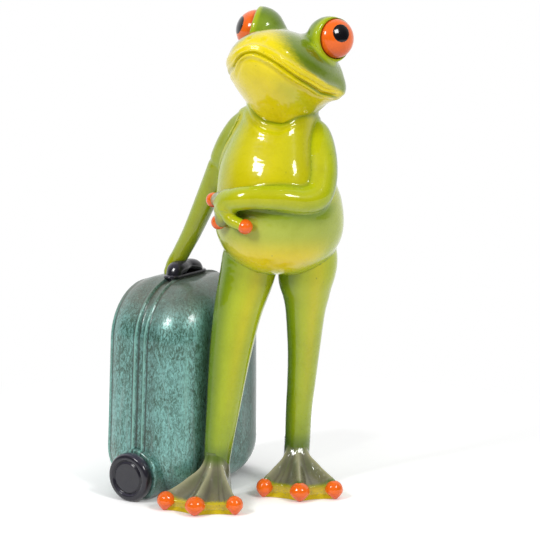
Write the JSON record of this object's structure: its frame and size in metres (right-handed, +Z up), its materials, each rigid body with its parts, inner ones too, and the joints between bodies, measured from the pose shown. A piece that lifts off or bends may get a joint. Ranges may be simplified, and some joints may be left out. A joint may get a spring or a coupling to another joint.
{
  "type": "frog figurine",
  "caption": "Standing lacquered resin frog ornament with bulging eyes and webbed feet, one arm across its belly and the other hand on an upright trolley suitcase.",
  "frame": {"origin": "middle of the bounding box in plan, on the ground under the feet and wheels", "axes": "+Z up, -Y the way the frog walks, +X towards the frog's own left"},
  "size_m": [0.0796, 0.0767, 0.1586],
  "materials": {
    "skin": "lacquered resin, airbrushed yellow to green",
    "pads": "lacquered resin",
    "pupils": "lacquered resin",
    "pins": "cut steel rod",
    "case": "lacquered resin, brushed metallic teal",
    "dark_trim": "lacquered resin, charcoal"
  },
  "bodies": {
    "root": {"torso": "skin", "head": "skin", "left_arm": "skin", "right_arm": "skin", "left_leg": "skin", "right_leg": "skin", "left_foot": "skin", "right_foot": "skin", "left_eye": "pads", "right_eye": "pads", "left_toe_pads": "pads", "right_toe_pads": "pads", "left_finger_pads": "pads", "left_pupil": "pupils", "right_pupil": "pupils", "neck_dowel": "pins", "left_shoulder_pin": "pins", "right_shoulder_pin": "pins", "left_leg_rod": "pins", "right_leg_rod": "pins", "suitcase_body": "case", "suitcase_handle": "dark_trim", "near_wheel": "dark_trim", "far_wheel": "dark_trim"}
  },
  "joints": []
}
